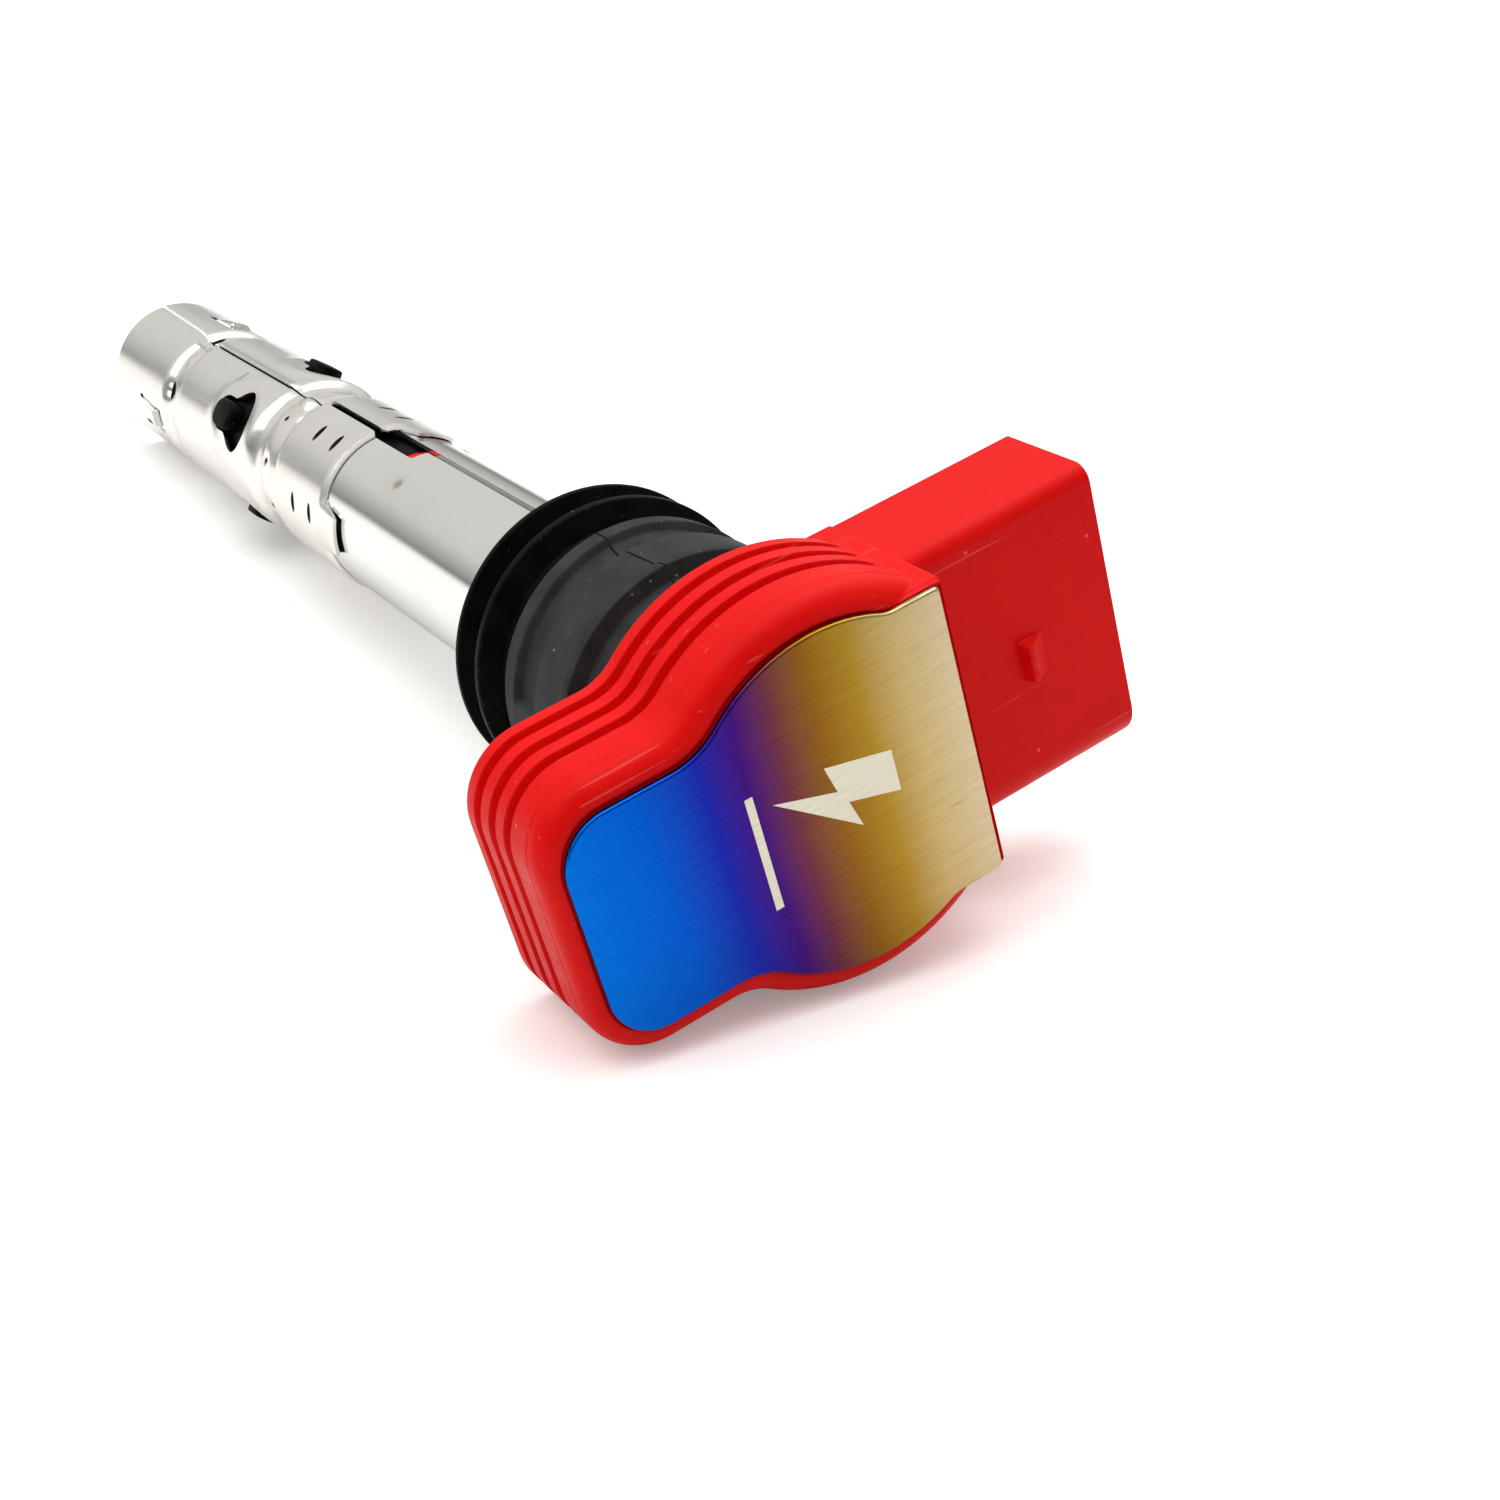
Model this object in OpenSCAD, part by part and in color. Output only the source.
// Push-in pencil ignition coil with a four-way connector and a stuck-on cover plate.
// Millimetres. The coil axis is X: +X points out of the head's top, -X to the spark plug.
// +Y points out of the connector's mouth, and Z = 0 is the plane of symmetry of the head.
// The origin lies on the coil axis, in the face of the well seal's lip.

/* [Head] */
// Distance from the seal's lip to the top of the moulded head
head_top = 47.4; // [46.5:0.1:49]
// Radius of the round middle of the head
lobe_r = 19.2; // [18.8:0.1:20]
// Width of the flat on each side of the round middle
lobe_flat = 6.4; // [5:0.1:7]
// Half the width of the toe, the narrow end away from the connector
toe_w = 13.7; // [13:0.1:14.5]
// Distance from the coil axis to the end of the toe
toe_y = 28.6; // [28:0.1:29.5]
// Radius of the toe's corners
toe_r = 6.6; // [5.5:0.1:7]
// Half the width of the flat end wall that carries the connector
end_w = 15.1; // [14.8:0.1:15.6]
// Distance from the coil axis to the end wall
end_y = 13.8; // [13.6:0.1:15]
// Radius of the rounded top edge
top_fillet = 2.3; // [1.5:0.1:2.6]
// Number of grooves round the flank
grooves = 3; // [2:1:3]
// Distance between two grooves
groove_pitch = 2.9; // [2.6:0.1:3.2]
// Width of a groove
groove_h = 1.2; // [0.8:0.1:1.4]
// Depth of a groove
groove_d = 1; // [0.5:0.1:1.1]

/* [Connector] */
// Distance from the coil axis to the connector's mouth
mouth_y = 35.1; // [33:0.1:38]
// Half the outer width of the connector
shroud_w = 15.05; // [14.6:0.05:15.4]
// Outer thickness of the connector
shroud_h = 12; // [11.5:0.1:12.6]
// How far the connector's middle lies below the coil's
shroud_drop = 0.85; // [0:0.05:1]
// Wall of the connector
shroud_wall = 1.6; // [1.4:0.1:1.8]
// Distance between two contact blades
pin_pitch = 5; // [4.5:0.1:5.2]
// Width of a contact blade
pin_w = 1.5; // [1.2:0.1:1.6]

/* [Cover plate] */
// Thickness of the cover plate
plate_t = 0.6; // [0.5:0.1:1]
// Thickness of the adhesive film
film_t = 0.1; // [0.1:0.05:0.2]
// How far the plate's edge lies inside the flank, all round the toe and lobe
plate_inset = 2.6; // [2.5:0.1:3]
// Width of the strip of the head left bare beside the plate at the end wall
plate_gap = 0.9; // [0.6:0.1:1.2]

/* [Well seal] */
// Radius of the lip and the crest, which seal in the well
lip_r = 15.85; // [15.5:0.05:16.2]
// Radius of the drum behind them
drum_r = 15.3; // [15:0.05:15.4]
// Radius of the neck below the head
seal_neck_r = 14.2; // [13.8:0.1:14.4]

/* [Tube and sleeve] */
// Outer radius of the shield tube
tube_r = 10; // [9.95:0.01:10.02]
// Angle of the lengthwise slit from +Y towards +Z
slit_angle = 77; // [70:1:84]
// Width of the slit
slit_w = 0.9; // [0.5:0.1:1.2]
// Distance from the lip down to the end of the contact sleeve
plug_end = 132.4; // [130:0.1:134]
// Thickness of the sleeve's sheet
sleeve_t = 0.4; // [0.3:0.05:0.45]
// Number of hole pairs round the sleeve's band
hole_pairs = 7; // [5:1:8]

/* [Boot and contact] */
// Radius of the bore that grips the spark plug's insulator
plug_bore_r = 5; // [4.9:0.05:5.2]
// Length of that bore
plug_bore_l = 20; // [18:1:20]
// How far the rubber lugs reach out from the axis
lug_r = 11; // [10.6:0.1:11.4]
// Active turns of the contact spring
spring_turns = 6; // [5:1:8]

/* [Coil] */
// Chambers of the secondary winding
chambers = 12; // [8:1:14]
// Radius of the iron core
core_r = 4.15; // [4:0.01:4.15]

/* [Hidden] */
$fn = 96;
eps = 0.01;

flange_x = 33;
block_x = 29.9;
block_l = 3.4;
head_wall = 1.9;
fillet_steps = 6;
groove_first = head_top - 12.1;
groove_end = end_y - 2.4;
lid_t = 1.8;
lid_ledge = 0.8;
lid_inset = top_fillet + 1.1;
lid_out = head_wall - lid_ledge;
cavity_floor = flange_x + 1.6;
cavity_end = end_y - head_wall;
resin_top = head_top - lid_t - 1.5;
toe_share = 0.65;
film_inset = 0.4;
flank_gap = 0.3;

shroud_x = block_x - 1.1;
shroud_top = shroud_x + shroud_h;
socket_y = 18;
edge_r = 1.7;
low_edge_r = 4;
latch_x = 1.25;
latch_y = 23.8;
latch_l = 2.8;
latch_w = 4.4;
latch_z = -shroud_drop - 0.35;
pin_t = 0.64;
pin_x = shroud_x + shroud_h / 2 + 0.8;
pin_tip_y = mouth_y - 5.1;
pin_tail_y = 7;
carrier_w = 10.6;
carrier_h = 4.6;

spreader_y = -24;
spreader_l = 14.5;
spreader_w = 16;
spreader_t = 1.4;
igniter_h = 3.6;
igniter_x = cavity_floor + spreader_t;
frame_x = igniter_x + igniter_h;
strip_w = 1.5;
strip_t = 0.5;
strip_y = spreader_y + 8;
lead_w = 1;
lead_z = 5.2;
diode_x = 38.4;
diode_z = 11;

neck_r = 12.4;
neck_end = 5.5;
tube_bore = tube_r + 0.05;
tube_wall = 0.5;
tube_top = 24;
tube_end = -52.6;
notch_end = -39;
notch_arc = 14;
core_end = notch_end + 0.2;
case_r = 8.95;
case_in = 7.95;
case_low_r = 8.5;
case_top = cavity_floor;
case_step = -43;
case_floor = -56;
nose_r = 6;
nose_end = -66;
core_l = 72;
core_x = -46;
magnet_l = 3.5;
cushion_l = 2;
bobbin_top = 32;
bobbin_end = -53;
flange_t = 0.8;
chamber_pitch = (bobbin_top - bobbin_end - flange_t) / chambers;
sec_in = 4.5;
sec_r = 5.2;
sec_wind_r = 6.3;
sec_flange_r = 6.6;
pri_in = 6.75;
pri_r = 7.25;
pri_wind_r = 7.75;

boot_r = 9.2;
boot_mouth = -110.3;
chamber_r = 3.3;
chamber_end = boot_mouth + plug_bore_l;
lug_x = -86.4;
lug_w = 1.9;
lug_spread = 1;
resistor_r = 2.35;
resistor_top = -61;
resistor_l = 15;
spring_r = 2.3;
spring_wire = 0.6;
spring_top = resistor_top - resistor_l;
spring_end = chamber_end + 0.1;
spring_start = spring_end + 2.5 * spring_wire;
spring_live = spring_top - spring_start - spring_wire / 2;
spring_steps = 10;
seam_angle = 80;
seam_w = 0.8;
band_end = -49.8;
finger_end = -45.6;
finger_w = 6.4;
window_x = -86;
window_w = 2.2;
window_spread = 1.8;
wing_x = -82.4;
wing_r = 2.6;
wing_spread = 1.5;
hole_rows = [-59.8, -54.6];
neck_hole_r = 0.6;
tongue_l = 7;
tongue_w = 3.2;
tongue_x = -121.2;
QUARTERS = [45:90:315];
FINGERS = [56, 166, 286];
FRONT_HOLES = [23, 143, 263];
REAR_HOLES = [115, 148, 235, 268, 355, 28];
TONGUES = [54, 174, 294];

// [x, outer radius] along the pressed sheet sleeve, from the plug end up.
SLEEVE = [[-plug_end, 10], [-110.5, 10], [-108.7, 9.2], [-105.4, 9.2], [-103.6, 10.2],
    [-76, 10.2], [-73, 9.4], [-67, 9.4], [-64.8, 10.45], [band_end - 1.5, 10.45], [finger_end, 11.3]];

function arc(cy, cz, r, from, to, n) =
    [for (i = [0:n]) let (a = from + (to - from) * i / n) [cy + r * cos(a), cz + r * sin(a)]];

function mirrored(points) =
    [for (i = [len(points) - 1:-1:0]) [points[i][0], -points[i][1]]];

// Half of the head's outline: end wall, round lobe with a small flat, waist and toe.
// The lobe, waist and toe move in by inset, the end wall by end_in and its flanks by side_in.
function half_outline(inset, end_in, side_in) =
    let (
        rl = lobe_r - inset, wt = toe_w - inset, rc = toe_r - inset * toe_share,
        we = end_w - side_in, ye = end_y - end_in,
        r_end = 1 + inset, r_waist = 6 + inset * 0.6, r_corner = 0.4,
        y_end = sqrt(pow(rl + r_end, 2) - pow(we + r_end, 2)),
        y_waist = -sqrt(pow(rl + r_waist, 2) - pow(wt + r_waist, 2)),
        a_end = atan2(we + r_end, y_end), a_waist = atan2(wt + r_waist, y_waist),
        a_flat = asin(lobe_flat / 2 / lobe_r),
        y_toe = -toe_y + inset * toe_share
    )
    concat(
        arc(ye - r_corner, we - r_corner, r_corner, 0, 90, 3),
        arc(y_end, we + r_end, r_end, -90, a_end - 180, 5),
        arc(0, 0, rl, a_end + 1, 90 - a_flat, 8),
        arc(0, 0, rl, 90 + a_flat, a_waist - 1, 12),
        arc(y_waist, wt + r_waist, r_waist, a_waist - 180, -90, 9),
        arc(y_toe + rc, wt - rc, rc, 90, 180, 10)
    );

function outline(inset, end_in, side_in) =
    let (half = half_outline(inset, end_in, side_in)) concat(half, mirrored(half));

// A slab between two heights on X, from a shape drawn in Y and Z.
module slab(x0, x1) {
    translate([x0, 0, 0]) rotate([90, 0, 90]) linear_extrude(x1 - x0) children();
}

// A solid of revolution about X, from [x, radius] points.
module turn(profile) {
    rotate([0, 90, 0]) rotate_extrude() polygon([for (p = profile) [p[1], p[0]]]);
}

module rod(x0, x1, r) {
    translate([x0, 0, 0]) rotate([0, 90, 0]) cylinder(r = r, h = x1 - x0);
}

module ring(x0, x1, r_in, r_out) {
    difference() {
        rod(x0, x1, r_out);
        rod(x0 - 1, x1 + 1, r_in);
    }
}

// A box along X whose middle lies at an angle round the axis, from +Y towards +Z.
module at_angle(a) {
    rotate([a, 0, 0]) children();
}

// A lengthwise slot with round ends, drilled in along the local Y.
module radial_slot(x, r_in, r_out, r, spread) {
    for (s = [-1, 1])
        translate([x + s * spread, r_in, 0]) rotate([-90, 0, 0]) cylinder(r = r, h = r_out - r_in);
    translate([x - spread, r_in, -r]) cube([2 * spread, r_out - r_in, 2 * r]);
}

// A slot round the girth with round ends, drilled in along the local Y.
module girth_slot(x, r_in, r_out, r, spread) {
    for (s = [-1, 1])
        translate([x, r_in, s * spread]) rotate([-90, 0, 0]) cylinder(r = r, h = r_out - r_in);
    translate([x - r, r_in, -spread]) cube([2 * r, r_out - r_in, 2 * spread]);
}

module groove(x) {
    difference() {
        union() {
            translate([x - groove_h / 2, -toe_y - 5, -lobe_r - 5])
                cube([groove_h, toe_y + 5 + groove_end, 2 * lobe_r + 10]);
            translate([x, groove_end, -lobe_r - 5])
                cylinder(r = groove_h / 2, h = 2 * lobe_r + 10);
        }
        slab(x - 2, x + 2) polygon(outline(groove_d, 0, 0));
        translate([x - 2, -5, -end_w + 0.6]) cube([4, 40, 2 * end_w - 1.2]);
    }
}

module head_block() {
    slab(flange_x, head_top - top_fillet) polygon(outline(0, 0, 0));
    for (i = [0:fillet_steps - 1]) {
        t = (i + 0.5) / fillet_steps;
        inset = top_fillet * (1 - sqrt(1 - t * t));
        slab(head_top - top_fillet + top_fillet * i / fillet_steps - eps,
             head_top - top_fillet + top_fillet * (i + 1) / fillet_steps)
            polygon(outline(inset, 0, 0));
    }
    translate([block_x, end_y - block_l, -end_w]) cube([flange_x - block_x + 1, block_l, 2 * end_w]);
}

// The connector's outer box has two rounded edges on the plate side.
module shroud_box() {
    y0 = end_y - 1;
    l = mouth_y - y0;
    z0 = -shroud_drop - shroud_w;
    z1 = -shroud_drop + shroud_w;
    translate([shroud_x, y0, z0]) cube([shroud_h - low_edge_r, l, 2 * shroud_w]);
    translate([shroud_x, y0, z0 + low_edge_r]) cube([shroud_h - edge_r, l, 2 * shroud_w - low_edge_r]);
    translate([shroud_x, y0, z0 + low_edge_r])
        cube([shroud_h, l, 2 * shroud_w - low_edge_r - edge_r]);
    translate([shroud_top - edge_r, y0, z1 - edge_r]) rotate([-90, 0, 0]) cylinder(r = edge_r, h = l);
    translate([shroud_top - low_edge_r, y0, z0 + low_edge_r])
        rotate([-90, 0, 0]) cylinder(r = low_edge_r, h = l);
}

// The hollow that takes the harness plug. Its corner follows the large rounded edge.
module socket() {
    h = shroud_h - 2 * shroud_wall;
    w = shroud_w - shroud_wall;
    c = low_edge_r - shroud_wall;
    translate([0, 0, -shroud_drop - w]) cube([h - c, mouth_y, 2 * w]);
    translate([0, 0, -shroud_drop - w + c]) cube([h, mouth_y, 2 * w - c]);
    translate([h - c, 0, -shroud_drop - w + c]) rotate([-90, 0, 0]) cylinder(r = c, h = mouth_y);
}

module latch_ramp() {
    translate([shroud_top - eps, 0, latch_z - latch_w / 2]) linear_extrude(latch_w)
        polygon([[0, latch_y], [latch_x, latch_y + 0.4], [latch_x, latch_y + 0.9], [0, latch_y + latch_l]]);
}

module head_housing() {
    color("red") difference() {
        union() {
            head_block();
            shroud_box();
            latch_ramp();
            rod(neck_end, flange_x + 1, neck_r);
        }
        for (i = [0:grooves - 1]) groove(groove_first + i * groove_pitch);
        slab(cavity_floor, head_top) polygon(outline(lid_inset + lid_ledge, head_wall, head_wall));
        slab(head_top - lid_t, head_top + 1) polygon(outline(lid_inset, lid_out, lid_out));
        rod(neck_end - 1, tube_top + 2, tube_bore);
        rod(tube_top, cavity_floor + 1, case_r + 0.03);
        translate([shroud_x + shroud_wall, socket_y, 0]) socket();
        translate([pin_x - carrier_h / 2, cavity_end - 1, -shroud_drop - carrier_w])
            cube([carrier_h, socket_y, 2 * carrier_w]);
    }
}

module head_lid() {
    color("red") slab(head_top - lid_t, head_top) polygon(outline(lid_inset, lid_out, lid_out));
}

module plate_shape(inset) {
    polygon(outline(plate_inset + inset, plate_gap + inset, flank_gap + inset));
}

module plate_film() {
    color("dimgray") slab(head_top, head_top + film_t) plate_shape(film_inset);
}

module cover_plate() {
    color("royalblue") slab(head_top + film_t, head_top + film_t + plate_t) plate_shape(0);
}

// Electronics in the head.
module heat_spreader() {
    color("silver") translate([cavity_floor, spreader_y, -spreader_w / 2])
        cube([spreader_t, spreader_l, spreader_w]);
}

module igniter_module() {
    color("dimgray") translate([igniter_x, spreader_y + 1, 1 - spreader_w / 2])
        cube([igniter_h, spreader_l - 2, spreader_w - 2]);
}

function pin_z(k) = (k - 1.5) * pin_pitch - shroud_drop;

module frame_strip(z) {
    translate([frame_x, strip_y, z - strip_w / 2])
        cube([strip_t, pin_tail_y + 1 - strip_y, strip_w]);
    translate([pin_x + pin_t / 2, pin_tail_y, z - strip_w / 2])
        cube([frame_x - pin_x - pin_t / 2 + 0.1, 1, strip_w]);
}

module lead_frame() {
    color("gold") for (k = [0, 1, 3]) frame_strip(pin_z(k));
}

module lead(z) {
    translate([bobbin_top, 4, z - lead_w / 2]) cube([frame_x - bobbin_top + 1.3, 0.8, lead_w]);
    translate([frame_x + 0.7, -13, z - lead_w / 2]) cube([0.6, 17.1, lead_w]);
}

module primary_lead_supply() { color("orange") lead(lead_z); }

module primary_lead_switched() { color("orange") lead(-lead_z); }

module switch_on_diode() {
    color("dimgray") translate([diode_x, -5, diode_z]) rotate([-90, 0, 0]) cylinder(r = 1.4, h = 5);
    color("silver") for (y = [-8, 0])
        translate([diode_x, y, diode_z]) rotate([-90, 0, 0]) cylinder(r = 0.4, h = 3);
}

module pin_blade(k) {
    translate([pin_x - pin_t / 2, pin_tail_y, pin_z(k) - pin_w / 2])
        cube([pin_t, pin_tip_y - pin_tail_y, pin_w]);
}

module pin_carrier() {
    color("dimgray") difference() {
        translate([pin_x - carrier_h / 2, cavity_end, -shroud_drop - carrier_w])
            cube([carrier_h, socket_y - cavity_end, 2 * carrier_w]);
        for (k = [0:3]) pin_blade(k);
    }
}

module connector_pin(k) { color("gold") pin_blade(k); }

module resin_parts() {
    heat_spreader();
    igniter_module();
    lead_frame();
    primary_lead_supply();
    primary_lead_switched();
    switch_on_diode();
    for (k = [0:3]) pin_blade(k);
}

module potting_resin() {
    color("saddlebrown") difference() {
        union() {
            slab(cavity_floor, resin_top) polygon(outline(lid_inset + lid_ledge, head_wall, head_wall));
            ring(bobbin_end, cavity_floor + eps, pri_wind_r + 0.02, case_in);
        }
        resin_parts();
    }
}

module well_seal() {
    color("black") turn([
        [0, tube_bore], [0, lip_r], [0.7, lip_r], [1.5, 13.7], [3.7, 13.5],
        [4.6, lip_r], [5.5, lip_r], [6.3, 13.3], [9.2, 13.1], [9.8, drum_r - 0.1],
        [22.7, drum_r], [22.9, seal_neck_r], [flange_x - 0.02, seal_neck_r],
        [flange_x - 0.02, neck_r], [neck_end, neck_r], [neck_end, tube_bore]
    ]);
}

module slit(x0, x1, w) {
    at_angle(slit_angle) translate([x0, 2, -w / 2]) cube([x1 - x0, 20, w]);
}

module shield_tube() {
    color("silver") difference() {
        ring(tube_end, tube_top, tube_r - tube_wall, tube_r);
        slit(tube_end - 1, tube_top + 1, slit_w);
        at_angle(slit_angle + notch_arc / 2) translate([tube_end - 1, 2, -1.3])
            cube([notch_end - tube_end + 1, 20, 2.6]);
    }
}

module return_core() {
    color("gray") difference() {
        ring(core_end, tube_top - 4, case_r + 0.05, tube_r - tube_wall - 0.03);
        rotate([180, 0, 0]) slit(notch_end, tube_top, slit_w);
    }
}

module coil_case() {
    color("red") turn([
        [case_top, case_in], [case_top, case_r], [case_step, case_r], [case_step, case_low_r],
        [case_floor, case_low_r], [case_floor, nose_r], [nose_end, nose_r], [nose_end, 3.02],
        [case_floor - 2, 3.02], [case_floor - 2, 1.55], [bobbin_end - 1, 1.55], [bobbin_end - 1, case_in]
    ]);
}

module bobbin(r_in, r_out, r_flange, x0, x1) {
    difference() {
        union() {
            rod(x0, x1, r_out);
            for (x = [x0, x1 - flange_t]) rod(x, x + flange_t, r_flange);
        }
        rod(x0 - 1, x1 + 1, r_in);
    }
}

module primary_bobbin() {
    color("ivory") bobbin(pri_in, pri_r, pri_wind_r - 0.02, bobbin_end, bobbin_top);
}

module primary_winding() {
    color("chocolate") ring(bobbin_end + flange_t, bobbin_top - flange_t, pri_r, pri_wind_r);
}

module secondary_bobbin() {
    color("ivory") difference() {
        union() {
            rod(bobbin_end, bobbin_top, sec_r);
            for (i = [0:chambers])
                rod(bobbin_end + i * chamber_pitch, bobbin_end + i * chamber_pitch + flange_t, sec_flange_r);
        }
        rod(bobbin_end - 1, bobbin_top + 1, sec_in);
    }
}

module secondary_winding() {
    color("chocolate") for (i = [0:chambers - 1])
        translate([bobbin_end + i * chamber_pitch, 0, 0])
            ring(flange_t, chamber_pitch, sec_r, sec_wind_r);
}

module core_rod() { color("gray") rod(core_x, core_x + core_l, core_r); }

module core_sleeve() {
    color("darkgreen") ring(core_x - magnet_l, core_x + core_l + magnet_l, core_r + 0.02, sec_in - 0.1);
}

module upper_magnet() { color("slategray") rod(core_x + core_l, core_x + core_l + magnet_l, core_r); }

module lower_magnet() { color("slategray") rod(core_x - magnet_l, core_x, core_r); }

module upper_cushion() {
    color("black") rod(core_x + core_l + magnet_l, core_x + core_l + magnet_l + cushion_l, core_r);
}

module lower_cushion() {
    color("black") rod(core_x - magnet_l - cushion_l, core_x - magnet_l, core_r);
}

// The high-voltage path: terminal, resistor and spring.
module hv_terminal() {
    color("gold") difference() {
        union() {
            rod(case_floor - 2, bobbin_end - 0.2, 1.5);
            rod(nose_end + 0.5, case_floor - 2, 3);
        }
        rod(nose_end - 1, resistor_top, resistor_r + 0.02);
    }
}

module suppression_resistor() {
    color("ivory") rod(spring_top + 1.2, resistor_top - 1.2, resistor_r);
    color("silver") for (x = [spring_top, resistor_top - 1.2]) rod(x, x + 1.2, resistor_r);
}

// The spring's live turns start just above its closed end turns and end on the resistor.
function helix(t) = [
    spring_start + spring_live * t,
    spring_r * cos(360 * spring_turns * t), spring_r * sin(360 * spring_turns * t)
];

// The tube's section at t: an eight-sided ring square to the helix.
function wire_section(t) =
    let (
        a = 360 * spring_turns * t, c = helix(t),
        rise = atan2(spring_live, 2 * PI * spring_r * spring_turns)
    )
    [for (k = [0:7]) let (b = 45 * k, u = spring_wire / 2 * cos(b), v = spring_wire / 2 * sin(b))
        c + [v * cos(rise), u * cos(a) + v * sin(rise) * sin(a), u * sin(a) - v * sin(rise) * cos(a)]];

module contact_spring() {
    n = spring_turns * spring_steps;
    points = [for (i = [0:n]) each wire_section(i / n)];
    sides = [for (i = [0:n - 1], k = [0:7])
        let (m = (k + 1) % 8) [8 * i + 8 + k, 8 * i + 8 + m, 8 * i + m, 8 * i + k]];
    color("silver") polyhedron(points,
        concat(sides, [[for (k = [0:7]) k]], [[for (k = [7:-1:0]) 8 * n + k]]), convexity = 10);
}

module spring_end_turns() {
    color("silver") difference() {
        rod(spring_end, spring_end + 2 * spring_wire - 0.1, spring_r + spring_wire / 2);
        rod(spring_end - 1, spring_end + 3, spring_r - spring_wire / 2);
    }
}

module plug_boot() {
    color("black") turn([
        [case_step, case_low_r + 0.02], [case_step, case_r], [-63, case_r], [-64.5, 8.95],
        [-66.5, 8.85], [-72.5, 8.85], [-75, boot_r], [-103, boot_r], [-105.5, 8.7],
        [-108.5, 8.7], [-110, boot_r], [boot_mouth, boot_r], [boot_mouth, plug_bore_r],
        [chamber_end, plug_bore_r], [chamber_end, chamber_r], [nose_end - 1, chamber_r],
        [nose_end - 1, nose_r + 0.02], [case_floor - 0.02, nose_r + 0.02],
        [case_floor - 0.02, case_low_r + 0.02]
    ]);
    color("black") for (a = QUARTERS) at_angle(a)
        radial_slot(lug_x, boot_r - 1, lug_r, lug_w, lug_spread);
}

module sleeve_skin() {
    inner = [for (i = [len(SLEEVE) - 1:-1:0]) [SLEEVE[i][0], SLEEVE[i][1] - sleeve_t]];
    turn(concat(SLEEVE, inner));
}

// Keeps the flared end only at three fingers.
module finger_gaps() {
    difference() {
        rod(band_end, finger_end + 1, 14);
        for (a = FINGERS) at_angle(a)
            translate([band_end - 1, 0, -finger_w / 2]) cube([6, 16, finger_w]);
    }
}

// Each window is a slot with two short wings at the end away from the plug.
module window() {
    radial_slot(window_x, 6, 16, window_w, window_spread);
    girth_slot(wing_x, 6, 16, wing_r, wing_spread);
}

module contact_sleeve() {
    color("silver") difference() {
        sleeve_skin();
        finger_gaps();
        at_angle(seam_angle) translate([-plug_end - 1, 2, -seam_w / 2]) cube([plug_end, 20, seam_w]);
        for (a = QUARTERS) at_angle(a) window();
        for (i = [0:hole_pairs - 1]) at_angle(seam_angle + (i + 0.5) * 360 / hole_pairs)
            for (x = hole_rows) girth_slot(x, 6, 16, 0.45, 0.8);
        for (a = FINGERS) at_angle(a) girth_slot(band_end + 0.6, 6, 16, 0.5, 2);
        for (a = FRONT_HOLES) at_angle(a) radial_slot(-107, 6, 16, 0.8, 0.01);
        for (a = REAR_HOLES) at_angle(a) radial_slot(-70.2, 6, 16, neck_hole_r, 0.01);
        for (a = TONGUES) at_angle(a)
            translate([tongue_x + 0.2, 6, -tongue_w / 2 - 0.4]) cube([tongue_l + 1, 10, tongue_w + 0.8]);
    }
    color("silver") for (a = TONGUES) at_angle(a)
        translate([tongue_x, 0, -tongue_w / 2]) rotate([0, 0, 6])
            translate([0, 9.72, 0]) cube([tongue_l, sleeve_t, tongue_w]);
}

head_housing();
head_lid();
plate_film();
cover_plate();
potting_resin();
igniter_module();
heat_spreader();
lead_frame();
primary_lead_supply();
primary_lead_switched();
switch_on_diode();
pin_carrier();
connector_pin(0);  // connector_pin_1
connector_pin(1);  // connector_pin_2
connector_pin(2);  // connector_pin_3
connector_pin(3);  // connector_pin_4
well_seal();
shield_tube();
return_core();
coil_case();
primary_bobbin();
primary_winding();
secondary_bobbin();
secondary_winding();
core_rod();
core_sleeve();
upper_magnet();
lower_magnet();
upper_cushion();
lower_cushion();
hv_terminal();
suppression_resistor();
contact_spring();
spring_end_turns();
plug_boot();
contact_sleeve();
